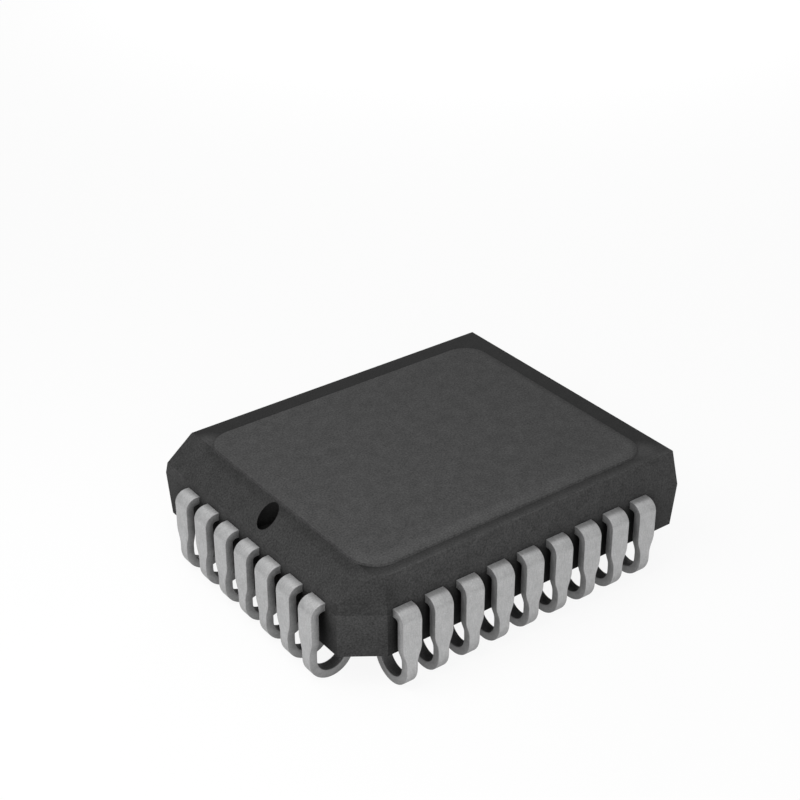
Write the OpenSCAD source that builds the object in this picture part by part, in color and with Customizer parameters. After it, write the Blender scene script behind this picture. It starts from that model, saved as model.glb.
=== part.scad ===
// Plastic leaded chip carrier: a moulded chip package that stands on J-leads along all four sides.
// Millimetres. X runs along the long sides, Z is up, and the leads stand on the plane Z = 0.
// The end with the bevel and the pin 1 dimple faces -X, and the chamfered corner is at -X, -Y.

/* [Body] */
// Length of the body along X, at the parting line
body_l = 13.97; // [12.5:0.01:20]
// Width of the body along Y, at the parting line
body_w = 11.43; // [10.5:0.01:18]
// Height of the body above the parting line
body_up = 1.38; // [1.2:0.01:2]
// Height of the body below the parting line
body_down = 1.7; // [1.2:0.01:2.4]
// How far the sides lean in from the parting line to the top
top_lean = 0.19; // [0.05:0.01:0.4]
// How far the sides lean in from the parting line to the underside
bottom_lean = 0.1; // [0.05:0.01:0.4]
// Radius of the edges around the top
edge_r = 0.07; // [0.03:0.01:0.15]

/* [Pin 1 bevel, corner and dimple] */
// Distance from the -X end to the upper edge of the bevel
bevel_in = 1.07; // [0.7:0.01:1.5]
// Height of the bevel
bevel_drop = 0.97; // [0.5:0.01:1.1]
// Length of the corner chamfer along X
chamfer_x = 1.31; // [0.8:0.01:1.5]
// Length of the corner chamfer along Y
chamfer_y = 0.93; // [0.6:0.01:1.4]
// How far the chamfer leans in from the parting line to the underside
chamfer_lean = 0.14; // [0.05:0.01:0.4]
// Diameter of the dimple
dimple_d = 0.75; // [0.4:0.01:0.9]
// Distance of the middle of the dimple from the upper edge of the bevel, along X
dimple_back = 0.44; // [0.4:0.01:0.6]
// Depth of the dimple, straight down from the bevel at its middle
dimple_depth = 0.6; // [0.2:0.01:0.65]

/* [Raised field on top] */
// How far the field stands out over the upper edge of the bevel
field_over_bevel = 0.05; // [0.02:0.01:0.3]
// Gap between the field and the top edge at the +X end
field_gap_end = 0.71; // [0.1:0.01:1.2]
// Gap between the field and the top edge at the -Y side
field_gap_front = 0.39; // [0.1:0.01:1.2]
// Gap between the field and the top edge at the +Y side
field_gap_back = 0.74; // [0.1:0.01:1.2]
// Radius of the field's corners
field_r = 1; // [0.7:0.05:2]
// Height of the steep border of the field
border_h = 0.05; // [0.02:0.01:0.1]
// Width of the steep border of the field
border_w = 0.05; // [0.03:0.01:0.2]
// Rise from the border to the flat middle of the field
crown_h = 0.02; // [0.01:0.01:0.05]
// Width of the slope from the border to the flat middle
crown_w = 0.4; // [0.1:0.05:0.45]

/* [Leads] */
// Distance between neighbouring leads
lead_pitch = 1.27; // [1.1:0.01:1.3]
// Leads on each long side
long_side_count = 9; // [3:2:9]
// Leads on each short side
short_side_count = 7; // [3:2:7]
// Thickness of the lead strip
lead_t = 0.3; // [0.15:0.01:0.4]
// Width of a lead at the body
lead_w = 0.75; // [0.5:0.01:0.85]
// Width of a lead where it meets the board
foot_w = 0.43; // [0.3:0.01:0.5]
// Length of a lead inside the body
finger_l = 1.2; // [0.7:0.05:1.35]
// Straight length between the body and the bend
shoulder_l = 0.12; // [0.05:0.01:0.3]
// Inner radius of the bend at the shoulder
bend_r = 0.12; // [0.05:0.01:0.3]
// Inner radius of the curl that meets the board
curl_r = 0.57; // [0.4:0.01:0.8]
// Straight length of the tip, inside the curl
tip_l = 0.35; // [0.1:0.01:0.6]
// Gap between the tips and the underside of the body
tip_gap = 0.08; // [0.05:0.01:0.4]
// Length of the narrow part of the leg, above the curl
narrow_l = 0.24; // [0.1:0.01:0.5]
// Length over which the leg draws in from wide to narrow
neck_l = 0.7; // [0.3:0.01:0.9]

/* [Die and wires] */
// Length of the plate that carries the die
die_pad_l = 7.6; // [6:0.1:9]
// Width of the plate that carries the die
die_pad_w = 5.6; // [4.5:0.1:7]
// Thickness of the plate that carries the die
die_pad_t = 0.3; // [0.15:0.01:0.4]
// Length of the die
die_l = 5; // [4:0.1:6]
// Width of the die
die_w = 4; // [3:0.1:4.5]
// Thickness of the die
die_t = 0.38; // [0.2:0.01:0.5]
// Distance of the wire bonds from the edge of the die
bond_edge = 0.3; // [0.15:0.05:0.4]
// Distance of the outermost wire bonds from the corners of the die
bond_corner = 0.6; // [0.5:0.05:1]
// Distance of the wire bonds from the inner ends of the leads
bond_lead = 0.25; // [0.1:0.05:0.4]
// Thickness of a bond wire
wire_t = 0.04; // [0.03:0.01:0.08]
// Height of the wire loops above the leads
wire_loop = 0.35; // [0.2:0.05:0.5]

/* [Hidden] */
$fn = 64;
edge_steps = 6;
neck_steps = 8;

half_l = body_l / 2;
half_w = body_w / 2;
span = body_l + body_w;

// Heights above the board
curl_z = curl_r + lead_t;
underside_z = curl_z + tip_l + tip_gap;
parting_z = underside_z + body_down;
top_z = parting_z + body_up;
finger_z = parting_z - lead_t / 2;
lead_top_z = finger_z + lead_t;
narrow_z = curl_z + narrow_l;
die_z = lead_top_z - die_t;

// The channels that the wires leave in the body open this far into those of the leads and the die
wire_sink = min(lead_t, die_t) / 4;

// Distances along a lead, outward from the side of the body
leg_u = shoulder_l + bend_r;
curl_u = leg_u - curl_r;
tip_u = curl_u - curl_r - lead_t;

// Bevel at the pin 1 end and the dimple in it
bevel_x = -half_l + bevel_in;
bevel_foot_x = -half_l + top_lean * (body_up - bevel_drop) / body_up;
bevel_slope = bevel_drop / (bevel_x - bevel_foot_x);
dimple_x = bevel_x - dimple_back;
dimple_z = top_z - dimple_back * bevel_slope;

// Direction of the corner chamfer and its distance from the middle of the body
chamfer_turn = 180 + atan2(chamfer_x, chamfer_y);
chamfer_d = (half_l * chamfer_y + half_w * chamfer_x - chamfer_x * chamfer_y)
    / norm([chamfer_x, chamfer_y]);

// Outline of the raised field
field_x0 = bevel_x - field_over_bevel;
field_x1 = half_l - top_lean - field_gap_end;
field_y0 = -half_w + top_lean + field_gap_front;
field_y1 = half_w - top_lean - field_gap_back;
field_root = field_over_bevel * bevel_slope + border_h;

// Pins are counted counter-clockwise seen from above, from the middle of the -X side.
// The sides are 0 at -X, 1 at -Y, 2 at +X and 3 at +Y.
lead_count = 2 * (long_side_count + short_side_count);

function lead_name(pin) = str("lead_", pin < 10 ? "0" : "", pin);

// Place of a pin in the row that starts at the corner between the sides 3 and 0
function place(pin) = (pin - 1 + floor(short_side_count / 2)) % lead_count;

function first_place(side) = floor((side + 1) / 2) * short_side_count + floor(side / 2) * long_side_count;

function side_of(pin) =
    place(pin) < first_place(1) ? 0 :
    place(pin) < first_place(2) ? 1 :
    place(pin) < first_place(3) ? 2 : 3;

function is_short(side) = side % 2 == 0;

// Distance from the middle of a side to its outermost lead
function half_row(side) = ((is_short(side) ? short_side_count : long_side_count) - 1) / 2 * lead_pitch;

// Distance of a pin from the middle of its side
function along(pin) = (place(pin) - first_place(side_of(pin))) * lead_pitch - half_row(side_of(pin));

function side_turn(side) = 180 + 90 * side;

function side_d(side) = is_short(side) ? half_l : half_w;

// A place u out from the middle of the package towards a side and v along that side
function on_side(side, u, v) =
    let (a = side_turn(side))
    [u * cos(a) - v * sin(a), u * sin(a) + v * cos(a)];

function bond_on_lead(pin) =
    on_side(side_of(pin), side_d(side_of(pin)) - finger_l + bond_lead, along(pin));

// The bonds on the die are spread evenly along each of its edges
function bond_on_die(pin) =
    let (
        side = side_of(pin),
        across = (is_short(side) ? die_l : die_w) / 2 - bond_edge,
        half_spread = (is_short(side) ? die_w : die_l) / 2 - bond_corner
    )
    on_side(side, across, along(pin) / half_row(side) * half_spread);

function unit(v) = v / norm(v);

// The corner p between its neighbours a and b, rounded to the radius r
function eased(p, a, b, r) =
    let (
        to_a = unit(a - p),
        to_b = unit(b - p),
        reach = r / tan(acos(to_a * to_b) / 2),
        centre = p + unit(to_a + to_b) * norm([r, reach]),
        first = p + to_a * reach - centre,
        last = p + to_b * reach - centre
    )
    [for (i = [0 : edge_steps]) centre + r * unit(first * (edge_steps - i) + last * i)];

// A drafted wall at the distance d, from the underside up to the rounded top edge
function wall(d, lean_down) = [
    [d - lean_down, underside_z],
    [d, parting_z],
    each eased([d - top_lean, top_z], [d, parting_z], [0, top_z], edge_r)
];

function mirrored(points) = [for (i = [len(points) - 1 : -1 : 0]) [-points[i].x, points[i].y]];

// Half of the section through the raised field, from a point inside it to its border at x
function field_border(x) = [
    [x, -field_root],
    [x, 0],
    [x - border_w, border_h],
    [x - border_w - crown_w, border_h + crown_h]
];

// A prism along Y from a profile in X and Z
module along_y(length) {
    rotate([90, 0, 0])
        linear_extrude(height = length, center = true)
            children();
}

module at_lead(pin) {
    rotate([0, 0, side_turn(side_of(pin))])
        translate([side_d(side_of(pin)), along(pin), 0])
            children();
}

// Drafted sides, the bevel at the -X end and the chamfered corner
module moulded_block() {
    intersection() {
        along_y(span)
            polygon(concat(wall(half_l, bottom_lean), [
                [bevel_x, top_z],
                [bevel_foot_x, top_z - bevel_drop],
                [-half_l, parting_z],
                [-half_l + bottom_lean, underside_z]
            ]));
        rotate([0, 0, 90])
            along_y(span)
                polygon(concat(wall(half_w, bottom_lean), mirrored(wall(half_w, bottom_lean))));
        rotate([0, 0, chamfer_turn])
            along_y(span)
                polygon(concat(wall(chamfer_d, chamfer_lean), [[-span, top_z], [-span, underside_z]]));
    }
}

// A bar of the field's section between two borders, as long as the field is between its corners
module field_bar(width, length) {
    along_y(length - 2 * field_r)
        polygon(concat(field_border(width / 2), mirrored(field_border(width / 2))));
}

// A low plateau with sloped borders and round corners
module raised_field() {
    size = [field_x1 - field_x0, field_y1 - field_y0];
    translate([(field_x0 + field_x1) / 2, (field_y0 + field_y1) / 2, top_z]) {
        field_bar(size.x, size.y);
        rotate([0, 0, 90]) field_bar(size.y, size.x);
        for (x = [-1, 1], y = [-1, 1])
            translate([x * (size.x / 2 - field_r), y * (size.y / 2 - field_r), 0])
                rotate_extrude()
                    polygon(concat(field_border(field_r), [[0, border_h + crown_h], [0, -field_root]]));
    }
}

// The round mark at pin 1, sunk straight down into the bevel
module dimple() {
    translate([dimple_x, 0, dimple_z - dimple_depth])
        cylinder(d = dimple_d, h = dimple_depth + body_up);
}

// The end of a lead that the body is moulded around
module finger_profile() {
    translate([-finger_l, finger_z]) square([finger_l + shoulder_l, lead_t]);
}

// A strip bent round an arc, cut to the box that starts at corner
module bent_strip(r, corner, size) {
    intersection() {
        difference() {
            circle(r + lead_t);
            circle(r);
        }
        translate(corner) square(size);
    }
}

// The J of a lead from the side: finger, bend, leg, curl and tip
module lead_profile() {
    outer_bend = bend_r + lead_t;
    finger_profile();
    translate([shoulder_l, finger_z - bend_r])
        bent_strip(bend_r, [0, 0], [outer_bend, outer_bend]);
    translate([leg_u, curl_z]) square([lead_t, finger_z - bend_r - curl_z]);
    translate([curl_u, curl_z])
        bent_strip(curl_r, [-curl_z, -curl_z], [2 * curl_z, curl_z]);
    translate([tip_u, curl_z]) square([lead_t, tip_l]);
}

// The width of a lead from the front: wide above, narrow below, with a smooth neck between
module lead_front() {
    neck = [
        for (i = [0 : neck_steps])
            let (spread = (1 - cos(180 * i / neck_steps)) / 2 * (lead_w - foot_w))
            [(foot_w + spread) / 2, narrow_z + neck_l * i / neck_steps]
    ];
    edge = concat([[foot_w / 2, -lead_t]], neck, [[lead_w / 2, top_z]]);
    polygon(concat(edge, mirrored(edge)));
}

// A wire that bows up in an arc between two bonds, with its ends sunk below them
module wire(from, to, sink) {
    chord = norm(to - from);
    bow_r = (chord * chord / 4 + wire_loop * wire_loop) / (2 * wire_loop);
    middle = (from + to) / 2;
    translate([middle.x, middle.y, lead_top_z - bow_r + wire_loop])
        rotate([0, 0, atan2(to.y - from.y, to.x - from.x)])
            along_y(wire_t)
                intersection() {
                    difference() {
                        circle(bow_r);
                        circle(bow_r - wire_t);
                    }
                    translate([-chord, bow_r - wire_loop - sink])
                        square([2 * chord, 2 * wire_loop + sink]);
                }
}

module body() {
    color("#3b3c3d")
        difference() {
            union() {
                moulded_block();
                raised_field();
            }
            dimple();
            for (pin = [1 : lead_count])
                at_lead(pin) along_y(lead_w) finger_profile();
            die_pad();
            die();
            bond_wires(wire_sink);
        }
}

module lead(pin) {
    color("silver")
        at_lead(pin)
            intersection() {
                along_y(2 * lead_w) lead_profile();
                rotate([90, 0, 90]) linear_extrude(height = span, center = true) lead_front();
            }
}

module die_pad() {
    color("peru")
        translate([-die_pad_l / 2, -die_pad_w / 2, die_z - die_pad_t])
            cube([die_pad_l, die_pad_w, die_pad_t]);
}

module die() {
    color("slategray")
        translate([-die_l / 2, -die_w / 2, die_z])
            cube([die_l, die_w, die_t]);
}

module bond_wires(sink = 0) {
    color("gold")
        for (pin = [1 : lead_count])
            wire(bond_on_lead(pin), bond_on_die(pin), sink);
}

body();
die_pad();
die();
bond_wires();
for (pin = [1 : lead_count])
    lead(pin);
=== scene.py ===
"""A moulded chip carrier on J-leads, on a white studio floor, seen from its bevelled pin 1 end."""

import math

import bpy
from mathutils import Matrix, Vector


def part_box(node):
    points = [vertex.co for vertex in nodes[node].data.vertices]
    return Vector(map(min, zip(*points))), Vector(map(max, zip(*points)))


MM = 0.001

# Camera, in millimetres in the part's frame
CAMERA_AT = Vector((-31.07, -40.24, 35.54))
CAMERA_AIM = Vector((3.77, 6.22, 2.0))
CAMERA_LENS = 76.9
CAMERA_NEAR = 1
CAMERA_FAR = 2000

# Lamps: place and width in millimetres, and power in watts
LAMPS = {
    "key": ((-17, -2, 29), 24, 0.0058),
    "fill": ((-45, -70, 30), 60, 0.046),
    "back": ((55, 65, 16), 28, 0.034),
}

# Floor and surround: they look white, and light the object less than that
FLOOR_WIDTH = 1200
FLOOR_SEEN_GREY = 0.9
FLOOR_LIGHTING_GREY = 0.4
FLOOR_SEEN_GLOW = 0.9
FLOOR_MIRRORED_GLOW = 0.4
SURROUND_SEEN = 1
SURROUND_LIGHTING = 0.38

# Raised field on the top of the body, in millimetres. Its finish changes to the rim's within FIELD_EDGE.
FIELD_MIDDLE = (0.06, -0.175)
FIELD_HALF = (6.025, 4.96)
FIELD_CORNER = 1.0
FIELD_EDGE = 0.05

# Corners of the rim round the field where a painted highlight lightens its dark grey, in millimetres
RIM_HIGHLIGHT_CORNERS = ((-5.85, 4.6), (5.92, -4.95))
RIM_CORNER_FULL = 0.2
RIM_CORNER_REACH = 0.7

# Height of the body's parting line, and how soon the painted shade on the chamfer's upper part starts above
# it, in millimetres
PARTING_HEIGHT = 3.0
PARTING_FADE = 0.03

# Corner chamfer: the way it faces, its distance from the middle in millimetres, and how deep behind it its
# painted shade starts and is full
CHAMFER_FACING = (-0.579, -0.815, 0)
CHAMFER_REACH = 7.945
CHAMFER_FADE = (0.5, 0.15)

# Dimple in the bevel, in millimetres; its inside is painted nearly black as shade
DIMPLE_MIDDLE = (-6.355, 0)
DIMPLE_RADIUS = 0.375
DIMPLE_FADE = 0.01

# Greys of the moulding, in linear light
FIELD_GREY = 0.056
FIELD_FRONT_HIGHLIGHT_GREY = 0.066
SIDE_GREY = 0.054
SIDE_LOW_SHADED_GREY = 0.043
BEVEL_SHADED_GREY = 0.038
SEAM_SHADE_GREY = 0.031
BORDER_GREY = 0.042
DIMPLE_SHADE_GREY = 0.007
CHAMFER_TOP_SHADE_GREY = 0.038
RIM_GREY = 0.0168
RIM_FRONT_LIT_GREY = 0.031
RIM_EDGE_HIGHLIGHT_GREY = 0.042
RIM_CORNER_HIGHLIGHT_GREY = 0.044

# How these greys change over the body: stops of a place in millimetres and the grey or share there.
# The painted highlight, the painted far-end shade and the painted seam shade go by the distance inside the
# field's outline, and the rim goes by Y.
# The painted highlight lies near the front and the painted shade at the far end.
FRONT_HIGHLIGHT = ((0, 0.3), (0.35, 1), (0.8, 0))
FAR_END_SHADE = ((0, 0.72), (0.35, 1))
# Painted shade: the bevel is darker than the sides, and darker still in the seam along the field.
SEAM_SHADES = ((-0.3, BEVEL_SHADED_GREY), (-0.15, SEAM_SHADE_GREY), (-0.04, SEAM_SHADE_GREY), (0.01, BORDER_GREY))
# Painted light on the rim: a highlight on its outer front edge and a lit front part.
RIM_SHADES = ((-5.5, RIM_EDGE_HIGHLIGHT_GREY), (-5.25, RIM_FRONT_LIT_GREY), (-4.6, RIM_GREY))
FRONT_HIGHLIGHT_Y = (-4.6, -3)
FAR_END_X = (5.2, 5.7)

# Parts of a face's normal between which it comes to count as level, as the bevel, as a bend or as an edge
LEVEL_UP = (0.9, 0.98)
BEVEL_UP = (0.3, 0.6)
BEVEL_TO_END = (-0.6, -0.4)
BEND_UP = (0.1, 0.4)
BEND_PAST = (0.75, 1)
EDGE_ACROSS = (0.5, 0.85)

# Colours of the metals and the silicon, in linear light, and the painted shade on a lead's bends and on its
# side faces
PLATING = (0.456, 0.457, 0.459)
COPPER = (0.72, 0.45, 0.32)
SILICON = (0.2, 0.21, 0.24)
GOLD = (0.83, 0.66, 0.3)
BEND_SHADE = 0.82
EDGE_SHADE = 0.7

# Rounding of a lead's edges, in millimetres
LEAD_EASING = 0.02

# Scale of a lead's streaks along its strip, where less than 1 draws them out
STREAK_SCALE = 0.15

# Roughness of the finishes. That of the plating varies with its streaks.
FIELD_ROUGHNESS = 0.7
RIM_ROUGHNESS = 0.5
PLATING_ROUGHNESS = (0.42, 0.56)

# Range that the noise mostly keeps to
NOISE_RANGE = (0.3, 0.7)

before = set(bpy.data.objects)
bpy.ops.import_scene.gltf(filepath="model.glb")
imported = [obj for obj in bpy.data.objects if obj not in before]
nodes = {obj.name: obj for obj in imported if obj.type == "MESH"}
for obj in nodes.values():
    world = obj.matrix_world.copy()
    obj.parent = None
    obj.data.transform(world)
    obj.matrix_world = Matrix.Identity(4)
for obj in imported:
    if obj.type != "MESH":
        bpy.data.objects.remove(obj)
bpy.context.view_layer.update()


def add(tree, kind, inputs=None, **settings):
    """Adds a node. An input is a value to set, or another node's socket to link."""
    made = tree.nodes.new("ShaderNode" + kind)
    for name, value in settings.items():
        setattr(made, name, value)
    for key, value in (inputs or {}).items():
        if isinstance(value, bpy.types.NodeSocket):
            tree.links.new(value, made.inputs[key])
        else:
            made.inputs[key].default_value = value
    return made


def new_material(name):
    """A material with a Principled shader, its node tree and the object coordinates."""
    material = bpy.data.materials.new(name)
    material.use_nodes = True
    tree = material.node_tree
    coords = add(tree, "TexCoord").outputs["Object"]
    return material, tree, tree.nodes["Principled BSDF"], coords


def grey(value):
    return (value, value, value, 1)


def noise(tree, coords, size_mm, detail):
    """Noise whose largest lumps are about size_mm across."""
    settings = {"Vector": coords, "Scale": 1 / (size_mm * MM), "Detail": detail}
    return add(tree, "TexNoise", settings).outputs["Fac"]


def ranged(tree, value, low, high, to_low, to_high):
    """Maps value from low..high to to_low..to_high, clamped."""
    return add(tree, "MapRange", {
        "Value": value, "From Min": low, "From Max": high, "To Min": to_low, "To Max": to_high,
    }).outputs["Result"]


def rise(tree, value, limits, unit=MM):
    """0 up to the first limit, rising to 1 at the second."""
    return ranged(tree, value, limits[0] * unit, limits[1] * unit, 0, 1)


def fall(tree, value, limits, unit=MM):
    """1 up to the first limit, falling to 0 at the second."""
    return ranged(tree, value, limits[0] * unit, limits[1] * unit, 1, 0)


def wavering(tree, lumps, spread):
    """A factor about 1 that the noise lumps vary by the share spread."""
    return ranged(tree, lumps, *NOISE_RANGE, 1 - spread, 1 + spread)


def product(tree, first, *others):
    for other in others:
        first = add(tree, "Math", {0: first, 1: other}, operation="MULTIPLY").outputs[0]
    return first


def larger(tree, a, b):
    return add(tree, "Math", {0: a, 1: b}, operation="MAXIMUM").outputs[0]


def mixed(tree, share, a, b):
    return add(tree, "Mix", {"Factor": share, "A": a, "B": b}, data_type="FLOAT").outputs["Result"]


def vector_math(tree, operation, a, b=(0, 0, 0), output="Vector"):
    return add(tree, "VectorMath", {0: a, 1: b}, operation=operation).outputs[output]


def tinted(tree, colour, shade):
    """A colour made lighter or darker by a shade."""
    return add(tree, "VectorMath", {0: colour, "Scale": shade}, operation="SCALE").outputs["Vector"]


def axes(tree, vector):
    """The X, Y and Z of a vector."""
    return add(tree, "SeparateXYZ", {"Vector": vector}).outputs


def face_normal(tree):
    return axes(tree, add(tree, "NewGeometry").outputs["Normal"])


def curve(tree, value, stops):
    """A smooth curve through stops of a value, in millimetres, and its height."""
    low, high = stops[0][0], stops[-1][0]
    highest = max(height for _, height in stops)
    ramp = add(tree, "ValToRGB", {"Fac": rise(tree, value, (low, high))})
    ramp.color_ramp.interpolation = "EASE"
    points = ramp.color_ramp.elements
    while len(points) < len(stops):
        points.new(0.5)
    for point, (at, height) in zip(points, stops):
        point.position = (at - low) / (high - low)
        point.color = grey(height / highest)
    return product(tree, ramp.outputs["Color"], highest)


def painted_crevice_shade(tree, reach_mm, deep, shut=0.25, own=False):
    """Painted shade: 1 in the open, falling to deep in places that are shut in within reach_mm.

    A place counts as wholly shut in where it sees the share shut of its surroundings or less. Own leaves
    other objects out.
    """
    sky = add(tree, "AmbientOcclusion", {"Distance": reach_mm * MM}, samples=16, only_local=own)
    return ranged(tree, sky.outputs["AO"], shut, 1, deep, 1)


def add_bump(tree, shader, height, strength, depth_mm):
    bump = add(tree, "Bump", {"Height": height, "Strength": strength, "Distance": depth_mm * MM})
    tree.links.new(bump.outputs["Normal"], shader.inputs["Normal"])


def flat_place(across, along):
    """A place on the ground plane, in metres, from two numbers in millimetres."""
    return (across * MM, along * MM, 0)


def field_inset(tree, coords):
    """How far a place lies inside the raised field's outline, in metres, up to FIELD_CORNER."""
    from_middle = vector_math(tree, "SUBTRACT", coords, flat_place(*FIELD_MIDDLE))
    flat = vector_math(tree, "MULTIPLY", from_middle, (1, 1, 0))
    straight = flat_place(FIELD_HALF[0] - FIELD_CORNER, FIELD_HALF[1] - FIELD_CORNER)
    past = vector_math(tree, "SUBTRACT", vector_math(tree, "ABSOLUTE", flat), straight)
    reach = vector_math(tree, "LENGTH", vector_math(tree, "MAXIMUM", past), output="Value")
    return add(tree, "Math", {0: FIELD_CORNER * MM, 1: reach}, operation="SUBTRACT").outputs[0]


def round_spot(tree, coords, middle, full, none):
    """Seen from above, 1 within the distance full of the middle, falling to 0 at the distance none."""
    flat = vector_math(tree, "MULTIPLY", coords, (1, 1, 0))
    away = vector_math(tree, "DISTANCE", flat, flat_place(*middle), output="Value")
    return fall(tree, away, (full, none))


def field_grey(tree, place, inset):
    """The field's grey, with a painted highlight along its front edge and painted shade fading in at its
    far end.
    """
    # Painted highlight: the field is lighter along its front edge.
    near_front = fall(tree, place["Y"], FRONT_HIGHLIGHT_Y)
    highlight = product(tree, curve(tree, inset, FRONT_HIGHLIGHT), near_front)
    highlighted = ranged(tree, highlight, 0, 1, FIELD_GREY, FIELD_FRONT_HIGHLIGHT_GREY)
    # Painted shade: the field darkens softly towards its far end.
    far_end = rise(tree, place["X"], FAR_END_X)
    return product(tree, highlighted, mixed(tree, far_end, 1, curve(tree, inset, FAR_END_SHADE)))


def rim_grey(tree, coords, place):
    """The rim's grey: dark, with painted light along the front edge and painted highlights at two corners.
    """
    value = curve(tree, place["Y"], RIM_SHADES)
    for corner in RIM_HIGHLIGHT_CORNERS:
        spot = round_spot(tree, coords, corner, RIM_CORNER_FULL, RIM_CORNER_REACH)
        value = mixed(tree, spot, value, RIM_CORNER_HIGHLIGHT_GREY)
    return value


def side_grey(tree, coords, place, normal, inset):
    """The grey of the drafted sides and the bevel, with painted shade towards the bottom, on the bevel, in
    the seam along the field and on the chamfer's upper part.
    """
    faces_end = fall(tree, normal["X"], BEVEL_TO_END, unit=1)
    bevel = product(tree, faces_end, rise(tree, normal["Z"], BEVEL_UP, unit=1))
    # Painted shade: the drafted sides darken towards the bottom.
    body_low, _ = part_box("body")
    drafted_shade = curve(tree, place["Z"], ((body_low.z / MM, SIDE_LOW_SHADED_GREY), (PARTING_HEIGHT, SIDE_GREY)))
    sides = mixed(tree, bevel, drafted_shade, curve(tree, inset, SEAM_SHADES))
    # Painted shade: the chamfer is darker above the parting line.
    reach = vector_math(tree, "DOT_PRODUCT", coords, CHAMFER_FACING, output="Value")
    at_chamfer = rise(tree, reach, [CHAMFER_REACH - depth for depth in CHAMFER_FADE])
    above_parting = rise(tree, place["Z"], (PARTING_HEIGHT, PARTING_HEIGHT + PARTING_FADE))
    return mixed(tree, product(tree, at_chamfer, above_parting), sides, CHAMFER_TOP_SHADE_GREY)


def moulding_material():
    """Dark filled epoxy: a matte, grained field on top, a smooth darker rim round it and drafted sides."""
    material, tree, shader, coords = new_material("moulding")
    normal = face_normal(tree)
    place = axes(tree, coords)
    inset = field_inset(tree, coords)
    level = rise(tree, normal["Z"], LEVEL_UP, unit=1)
    field = product(tree, level, rise(tree, inset, (0, FIELD_EDGE)))
    rim = product(tree, level, fall(tree, inset, (0, FIELD_EDGE)))
    in_dimple = round_spot(tree, coords, DIMPLE_MIDDLE, DIMPLE_RADIUS, DIMPLE_RADIUS + DIMPLE_FADE)

    value = side_grey(tree, coords, place, normal, inset)
    value = mixed(tree, field, value, field_grey(tree, place, inset))
    value = mixed(tree, rim, value, rim_grey(tree, coords, place))
    # Painted shade: the moulding darkens where it is shut in, between and behind the leads.
    value = product(tree, value, painted_crevice_shade(tree, reach_mm=1.2, deep=0.06))
    # Painted shade: the dimple is painted nearly black inside.
    value = mixed(tree, in_dimple, value, DIMPLE_SHADE_GREY)
    grain = noise(tree, coords, size_mm=0.06, detail=4)
    mottle = noise(tree, coords, size_mm=0.5, detail=4)
    value = product(tree, value, wavering(tree, grain, spread=0.34), wavering(tree, mottle, spread=0.1))

    tree.links.new(value, shader.inputs["Base Color"])
    roughness = ranged(tree, rim, 0, 1, FIELD_ROUGHNESS, RIM_ROUGHNESS)
    tree.links.new(roughness, shader.inputs["Roughness"])
    shader.inputs["Specular IOR Level"].default_value = 0.06
    add_bump(tree, shader, grain, strength=0.3, depth_mm=0.01)
    return material


def plated_material(name, across):
    """Dull tin plating with fine streaks along the strip. Across is the axis over the strip's width."""
    material, tree, shader, coords = new_material(name)
    scale = [STREAK_SCALE] * 3
    scale[across] = 1
    along_strip = vector_math(tree, "MULTIPLY", coords, scale)
    streaks = noise(tree, along_strip, size_mm=0.035, detail=4)
    clouds = noise(tree, coords, size_mm=0.35, detail=4)
    speckle = noise(tree, coords, size_mm=0.05, detail=3)
    shade = product(tree, wavering(tree, streaks, spread=0.11), wavering(tree, clouds, spread=0.06))
    shade = product(tree, shade, wavering(tree, speckle, spread=0.12))

    # Painted shade: darker in the gaps between the leads and inside each lead's own curl.
    gap_shade = painted_crevice_shade(tree, reach_mm=1.2, deep=0.7)
    curl_shade = painted_crevice_shade(tree, reach_mm=3, deep=0.12, shut=0.7, own=True)
    # Painted shade: a lead's side faces and bends are darkened by the way they face.
    normal = face_normal(tree)
    sideways = add(tree, "Math", {0: normal[across]}, operation="ABSOLUTE").outputs[0]
    side_face = rise(tree, sideways, EDGE_ACROSS, unit=1)
    past_leg = rise(tree, normal["Z"], BEND_UP, unit=1)
    bend = product(tree, past_leg, fall(tree, normal["Z"], BEND_PAST, unit=1))
    edge_shade = ranged(tree, side_face, 0, 1, 1, EDGE_SHADE)
    bend_shade = ranged(tree, bend, 0, 1, 1, BEND_SHADE)
    shade = product(tree, shade, gap_shade, curl_shade, edge_shade, bend_shade)

    tree.links.new(tinted(tree, PLATING, shade), shader.inputs["Base Color"])
    roughness = ranged(tree, streaks, *NOISE_RANGE, *PLATING_ROUGHNESS)
    tree.links.new(roughness, shader.inputs["Roughness"])
    shader.inputs["Metallic"].default_value = 0.6
    add_bump(tree, shader, streaks, strength=0.15, depth_mm=0.004)
    return material


def inner_material(name, colour, metallic, roughness):
    """A finish for a piece that is sealed in the moulding."""
    material, tree, shader, coords = new_material(name)
    clouds = noise(tree, coords, size_mm=0.4, detail=3)
    shade = wavering(tree, clouds, spread=0.1)
    tree.links.new(tinted(tree, colour, shade), shader.inputs["Base Color"])
    shader.inputs["Metallic"].default_value = metallic
    shader.inputs["Roughness"].default_value = roughness
    return material


def dress(node, material):
    node.data.materials.clear()
    node.data.materials.append(material)


def ease_edges(node):
    """Rounds the edges of a lead. Its faces come in as loose triangles, so they are joined first."""
    joined = node.modifiers.new("joined", "WELD")
    joined.merge_threshold = 0.001 * MM
    plain = node.modifiers.new("plain", "DECIMATE")
    plain.decimate_type = "DISSOLVE"
    plain.angle_limit = math.radians(0.5)
    eased = node.modifiers.new("eased", "BEVEL")
    eased.width = LEAD_EASING * MM
    eased.segments = 2
    eased.limit_method = "ANGLE"
    eased.angle_limit = math.radians(50)
    node.modifiers.new("shading", "WEIGHTED_NORMAL")


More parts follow.
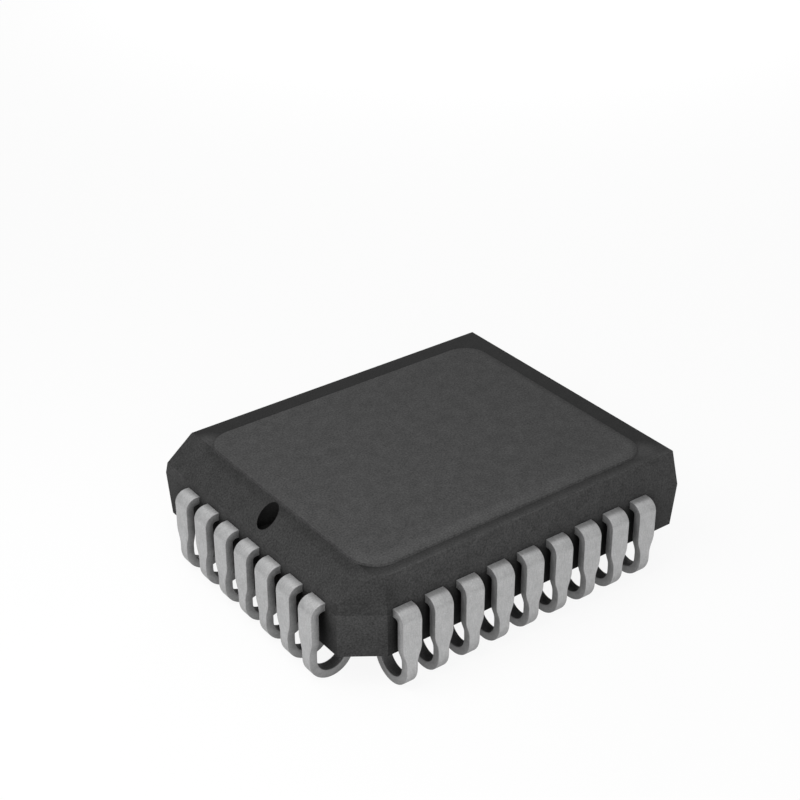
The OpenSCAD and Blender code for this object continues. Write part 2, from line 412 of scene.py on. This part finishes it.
def dress_nodes():
    """Gives every node its finish. A lead is narrower across its strip than along its reach."""
    dress(nodes["body"], moulding_material())
    dress(nodes["die_pad"], inner_material("lead_frame", COPPER, metallic=1, roughness=0.4))
    dress(nodes["die"], inner_material("silicon", SILICON, metallic=0, roughness=0.25))
    dress(nodes["bond_wires"], inner_material("bond_wire", GOLD, metallic=1, roughness=0.25))
    on_long_side = plated_material("plated_long_side", across=0)
    on_short_side = plated_material("plated_short_side", across=1)
    for name, node in nodes.items():
        if name.startswith("lead_"):
            low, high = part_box(name)
            size = high - low
            dress(node, on_long_side if size.x < size.y else on_short_side)
            ease_edges(node)


def ray_is(tree, kind):
    return add(tree, "LightPath").outputs["Is %s Ray" % kind]


def mirrored_ray(tree):
    """1 for rays that show a surface in a reflection or through something clear."""
    return larger(tree, ray_is(tree, "Glossy"), ray_is(tree, "Transmission"))


def make_floor():
    """A white floor that still takes the object's shadow."""
    bpy.ops.mesh.primitive_plane_add(size=FLOOR_WIDTH * MM)
    floor = bpy.context.object
    floor.name = "floor"
    material, tree, shader, _ = new_material("white_floor")
    tree.nodes.remove(shader)
    direct = ray_is(tree, "Camera")
    mirrored = mirrored_ray(tree)
    seen = larger(tree, direct, mirrored)
    paint = ranged(tree, seen, 0, 1, FLOOR_LIGHTING_GREY, FLOOR_SEEN_GREY)
    diffuse = add(tree, "BsdfDiffuse", {"Color": paint})
    glow = add(tree, "Emission", {"Color": grey(1), "Strength": 1})
    seen_glow = product(tree, direct, FLOOR_SEEN_GLOW)
    share = larger(tree, seen_glow, product(tree, mirrored, FLOOR_MIRRORED_GLOW))
    mix = add(tree, "MixShader", {"Fac": share, 1: diffuse.outputs[0], 2: glow.outputs[0]})
    tree.links.new(mix.outputs[0], tree.nodes["Material Output"].inputs["Surface"])
    dress(floor, material)


def make_world():
    """A white surround, seen as white and lighting the object evenly."""
    world = bpy.data.worlds.new("studio")
    bpy.context.scene.world = world
    world.use_nodes = True
    tree = world.node_tree
    background = tree.nodes["Background"]
    background.inputs["Color"].default_value = grey(1)
    seen = larger(tree, ray_is(tree, "Camera"), mirrored_ray(tree))
    strength = ranged(tree, seen, 0, 1, SURROUND_LIGHTING, SURROUND_SEEN)
    tree.links.new(strength, background.inputs["Strength"])


def make_lamps():
    """Square soft boxes that point at the object and don't show in its gloss."""
    for name, (at, width, power) in LAMPS.items():
        lamp = bpy.data.lights.new(name, "AREA")
        lamp.size = width * MM
        lamp.energy = power
        holder = bpy.data.objects.new(name, lamp)
        holder.location = Vector(at) * MM
        holder.rotation_euler = (-Vector(at)).to_track_quat("-Z", "Y").to_euler()
        holder.visible_glossy = False
        bpy.context.scene.collection.objects.link(holder)


def make_camera():
    lens = bpy.data.cameras.new("photo_view")
    lens.lens = CAMERA_LENS
    lens.clip_start = CAMERA_NEAR * MM
    lens.clip_end = CAMERA_FAR * MM
    camera = bpy.data.objects.new("photo_view", lens)
    camera.location = CAMERA_AT * MM
    camera.rotation_euler = (CAMERA_AIM - CAMERA_AT).to_track_quat("-Z", "Y").to_euler()
    bpy.context.scene.collection.objects.link(camera)
    bpy.context.scene.camera = camera


dress_nodes()
make_floor()
make_world()
make_lamps()
make_camera()
bpy.context.scene.view_settings.view_transform = "Standard"
